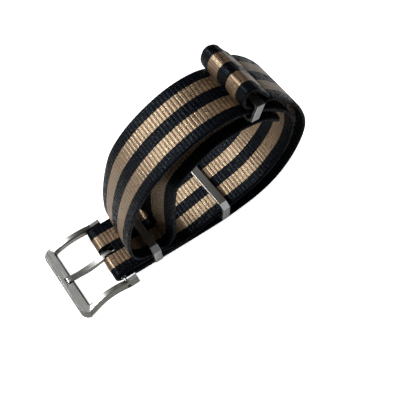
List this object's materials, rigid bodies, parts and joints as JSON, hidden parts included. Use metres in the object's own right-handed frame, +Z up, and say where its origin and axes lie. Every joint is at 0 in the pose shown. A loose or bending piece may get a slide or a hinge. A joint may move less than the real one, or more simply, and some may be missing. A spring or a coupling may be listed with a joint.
{
  "type": "watch strap",
  "caption": "Striped woven pull-through watch strap, rolled into a loop, with a pin buckle and three flat metal keeper rings.",
  "frame": {"origin": "middle of the flat face under the short strap, where the rolled strap rests", "axes": "+X along the strap from the buckle to the far curve of the roll, +Y across the webbing, +Z up"},
  "size_m": [0.0878, 0.028, 0.0726],
  "materials": {
    "webbing": "woven nylon, striped black and tan along its length",
    "brushed_metal": "brushed with bright bevels",
    "spring_bar_metal": "plain turned steel"
  },
  "bodies": {
    "strap": {"long_strap": "webbing", "short_strap": "webbing"},
    "buckle": {"buckle_frame": "brushed_metal", "spring_bar_tube": "spring_bar_metal", "spring_bar_spring": "spring_bar_metal"},
    "tongue": {"buckle_tongue": "brushed_metal"},
    "tip_near": {"spring_bar_tip_near": "spring_bar_metal"},
    "tip_far": {"spring_bar_tip_far": "spring_bar_metal"},
    "keeper_at_buckle": {"buckle_keeper": "brushed_metal"},
    "keeper_in_middle": {"middle_keeper": "brushed_metal"},
    "keeper_at_end": {"end_keeper": "brushed_metal"}
  },
  "joints": [
    {"name": "buckle_swing", "type": "hinge", "parent": "strap", "child": "buckle", "pos_m": [-0.0191, 0, 0.00385], "axis": [0, 1, 0], "range_deg": [0, 40]},
    {"name": "tongue_swing", "type": "hinge", "parent": "buckle", "child": "tongue", "pos_m": [-0.0191, 0, 0.00385], "axis": [0, 1, 0], "range_deg": [0, 40]},
    {"name": "tip_near_slide", "type": "slide", "parent": "buckle", "child": "tip_near", "axis": [0, 1, 0], "range_m": [0, 0.00215], "stiffness_N_per_m": 300, "deforming": ["spring_bar_spring"]},
    {"name": "tip_far_slide", "type": "slide", "parent": "buckle", "child": "tip_far", "axis": [0, -1, 0], "range_m": [0, 0.00215], "stiffness_N_per_m": 300, "deforming": ["spring_bar_spring"]},
    {"name": "buckle_keeper_tilt", "type": "hinge", "parent": "strap", "child": "keeper_at_buckle", "pos_m": [-0.00592, 0, 0.0037], "axis": [0, 1, 0], "range_deg": [-3, 5]},
    {"name": "middle_keeper_tilt", "type": "hinge", "parent": "strap", "child": "keeper_in_middle", "pos_m": [0.02002, 0, 0.00525], "axis": [-0.0593, 0.9982, 0], "range_deg": [-8, 2]},
    {"name": "end_keeper_tilt", "type": "hinge", "parent": "strap", "child": "keeper_at_end", "pos_m": [0.0306, 0, 0.06401], "axis": [-0.0755, 0.9969, 0.0212], "range_deg": [-8, 8]}
  ]
}
